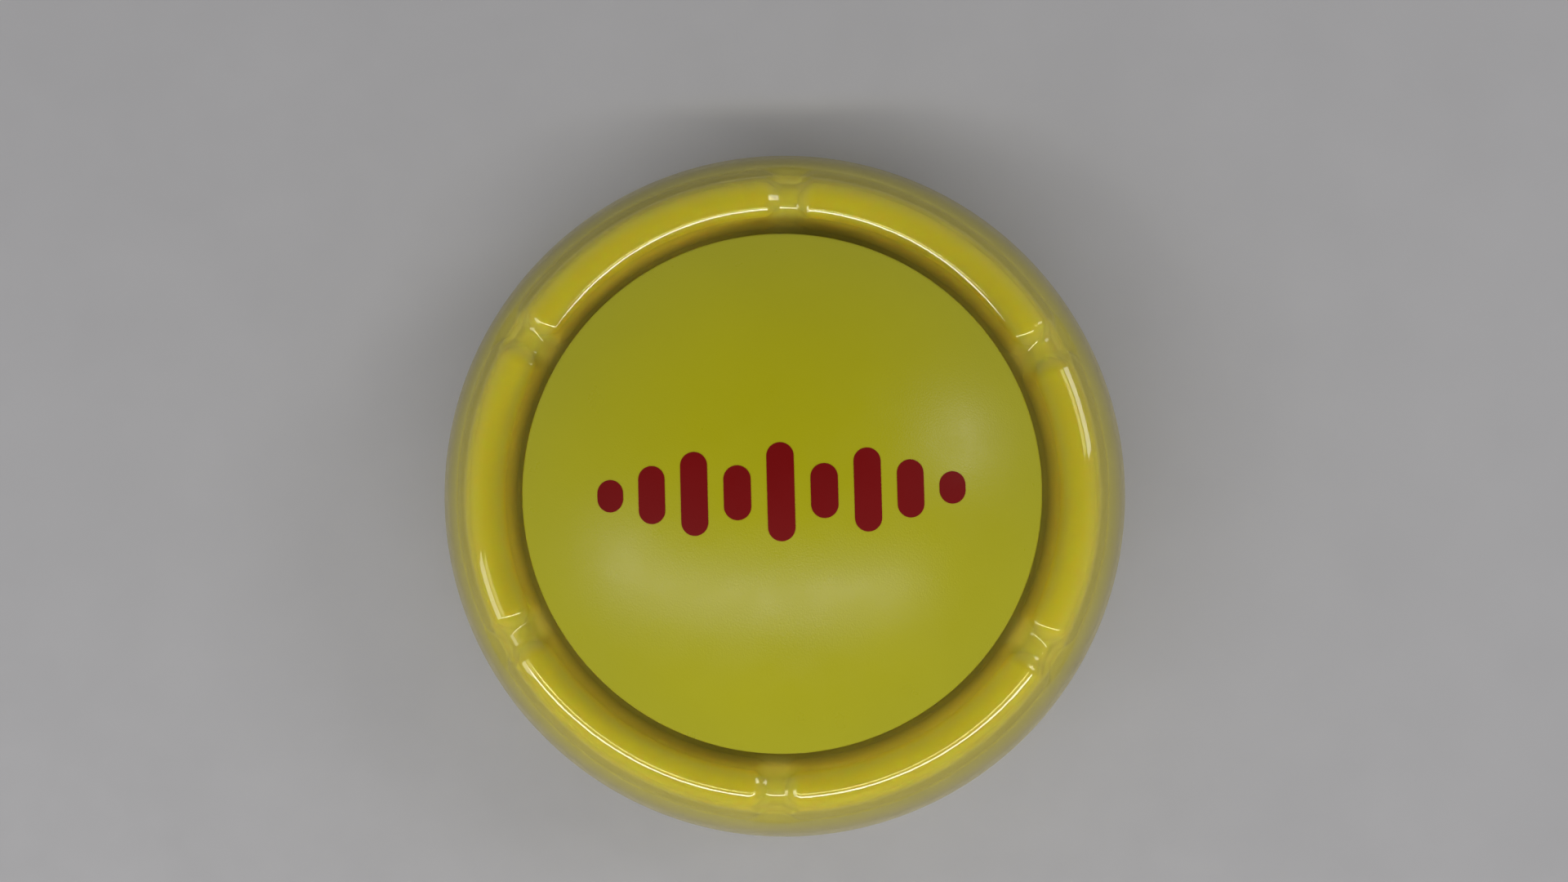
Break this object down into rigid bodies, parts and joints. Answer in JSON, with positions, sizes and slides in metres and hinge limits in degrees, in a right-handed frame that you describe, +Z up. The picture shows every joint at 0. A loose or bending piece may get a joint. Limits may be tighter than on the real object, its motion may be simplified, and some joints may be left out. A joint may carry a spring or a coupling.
{
  "type": "quiz buzzer",
  "caption": "Round table-top answer button: a low matte dome that presses down inside a grooved ring under a clear flared skirt.",
  "frame": {"origin": "centre of the circle of feet, on the surface the buzzer stands on", "axes": "+Z up along the button's travel, +Y towards the battery bay's side, +X to the right"},
  "size_m": [0.09, 0.09, 0.0395],
  "materials": {
    "clear_acrylic": "clear, polished",
    "ring_yellow": "glossy moulded",
    "dome_yellow": "fine matte texture",
    "base_yellow": "satin moulded",
    "foot_rubber": "matte",
    "screw_steel": "zinc plated",
    "spring_steel": "drawn wire",
    "contact_nickel": "nickel plated",
    "cell_sleeve": "printed sleeve",
    "basket_steel": "plated",
    "magnet_ferrite": "ground",
    "cone_paper": "pressed",
    "chassis_plastic": "moulded",
    "carrier_plastic": "moulded",
    "board_laminate": "solder mask",
    "chip_resin": "potted",
    "component_ceramic": "fired",
    "pad_silicone": "matte",
    "wire_red": "extruded",
    "wire_black": "extruded",
    "symbol_red": "printed vinyl"
  },
  "bodies": {
    "housing": {"clear_ring": "clear_acrylic", "top_ring": "ring_yellow", "base_pan": "base_yellow", "rubber_foot_1": "foot_rubber", "rubber_foot_2": "foot_rubber", "rubber_foot_3": "foot_rubber", "rubber_foot_4": "foot_rubber", "housing_screws": "screw_steel", "battery_door": "base_yellow", "door_screws": "screw_steel", "aaa_cell_1": "cell_sleeve", "aaa_cell_2": "cell_sleeve", "battery_springs": "contact_nickel", "bridge_contact": "contact_nickel", "negative_contact": "contact_nickel", "positive_contact": "contact_nickel", "speaker_basket": "basket_steel", "speaker_magnet": "magnet_ferrite", "speaker_cone": "cone_paper", "speaker_screws": "screw_steel", "chassis_plate": "chassis_plastic", "chassis_screws": "screw_steel", "sound_board": "board_laminate", "sound_chip": "chip_resin", "board_parts": "component_ceramic", "board_screws": "screw_steel", "switch_pad": "pad_silicone", "return_spring_1": "spring_steel", "return_spring_2": "spring_steel", "return_spring_3": "spring_steel", "battery_wire_red": "wire_red", "battery_wire_black": "wire_black", "speaker_wire_red": "wire_red", "speaker_wire_black": "wire_black"},
    "button": {"button_dome": "dome_yellow", "dome_symbol": "symbol_red", "button_carrier": "carrier_plastic", "carrier_screws": "screw_steel"}
  },
  "joints": [
    {"name": "button_press", "type": "slide", "parent": "housing", "child": "button", "axis": [0, 0, -1], "range_m": [0, 0.0035], "stiffness_N_per_m": 800, "springref_m": -0.002, "deforming": ["return_spring_1", "return_spring_2", "return_spring_3", "switch_pad"]}
  ]
}
